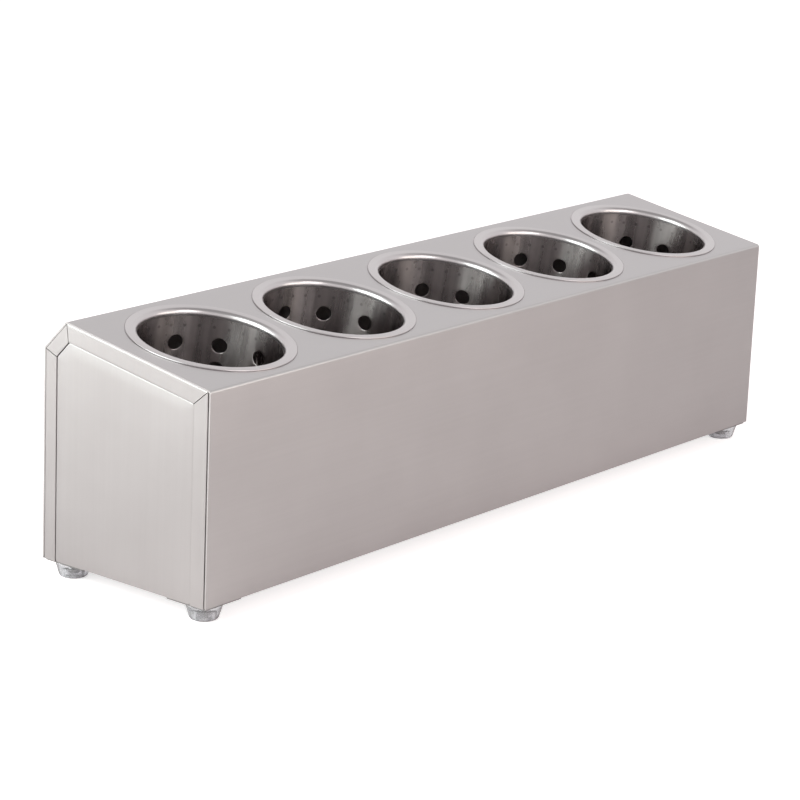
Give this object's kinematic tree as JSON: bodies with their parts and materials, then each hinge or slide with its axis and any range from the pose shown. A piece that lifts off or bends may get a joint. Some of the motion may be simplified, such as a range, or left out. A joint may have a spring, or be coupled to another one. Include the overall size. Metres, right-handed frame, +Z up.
{
  "type": "cutlery holder",
  "caption": "Long stainless steel counter-top cutlery holder: a folded housing with a sloping top that carries lift-out perforated cylinders, on small tapered feet.",
  "frame": {"origin": "on the floor under the middle of the housing", "axes": "+X along the housing, -Y the low front, +Y the bevelled back, +Z up"},
  "size_m": [0.635, 0.147, 0.1773],
  "materials": {
    "housing_steel": "fine brushed stainless sheet",
    "rim_steel": "satin flange with a polished rolled lip",
    "cylinder_steel": "polished stainless",
    "foot_vinyl": "translucent grey, smooth",
    "fastener_steel": "plain"
  },
  "bodies": {
    "housing": {"body_shell": "housing_steel", "left_end_frame": "housing_steel", "right_end_frame": "housing_steel", "left_end_panel": "housing_steel", "right_end_panel": "housing_steel", "foot_plate_front_left": "housing_steel", "foot_plate_front_right": "housing_steel", "foot_plate_back_left": "housing_steel", "foot_plate_back_right": "housing_steel", "foot_front_left": "foot_vinyl", "foot_front_right": "foot_vinyl", "foot_back_left": "foot_vinyl", "foot_back_right": "foot_vinyl", "foot_screws": "fastener_steel", "foot_washers": "fastener_steel", "foot_nuts": "fastener_steel"},
    "cylinder_1": {"cylinder_1_rim": "rim_steel", "cylinder_1_sleeve": "cylinder_steel", "cylinder_1_base": "cylinder_steel"},
    "cylinder_2": {"cylinder_2_rim": "rim_steel", "cylinder_2_sleeve": "cylinder_steel", "cylinder_2_base": "cylinder_steel"},
    "cylinder_3": {"cylinder_3_rim": "rim_steel", "cylinder_3_sleeve": "cylinder_steel", "cylinder_3_base": "cylinder_steel"},
    "cylinder_4": {"cylinder_4_rim": "rim_steel", "cylinder_4_sleeve": "cylinder_steel", "cylinder_4_base": "cylinder_steel"},
    "cylinder_5": {"cylinder_5_rim": "rim_steel", "cylinder_5_sleeve": "cylinder_steel", "cylinder_5_base": "cylinder_steel"}
  },
  "joints": [
    {"name": "cylinder_1_lift", "type": "slide", "parent": "housing", "child": "cylinder_1", "axis": [0, -0.1625, 0.9867], "range_m": [0, 0.15]},
    {"name": "cylinder_2_lift", "type": "slide", "parent": "housing", "child": "cylinder_2", "axis": [0, -0.1625, 0.9867], "range_m": [0, 0.15]},
    {"name": "cylinder_3_lift", "type": "slide", "parent": "housing", "child": "cylinder_3", "axis": [0, -0.1625, 0.9867], "range_m": [0, 0.15]},
    {"name": "cylinder_4_lift", "type": "slide", "parent": "housing", "child": "cylinder_4", "axis": [0, -0.1625, 0.9867], "range_m": [0, 0.15]},
    {"name": "cylinder_5_lift", "type": "slide", "parent": "housing", "child": "cylinder_5", "axis": [0, -0.1625, 0.9867], "range_m": [0, 0.15]}
  ]
}
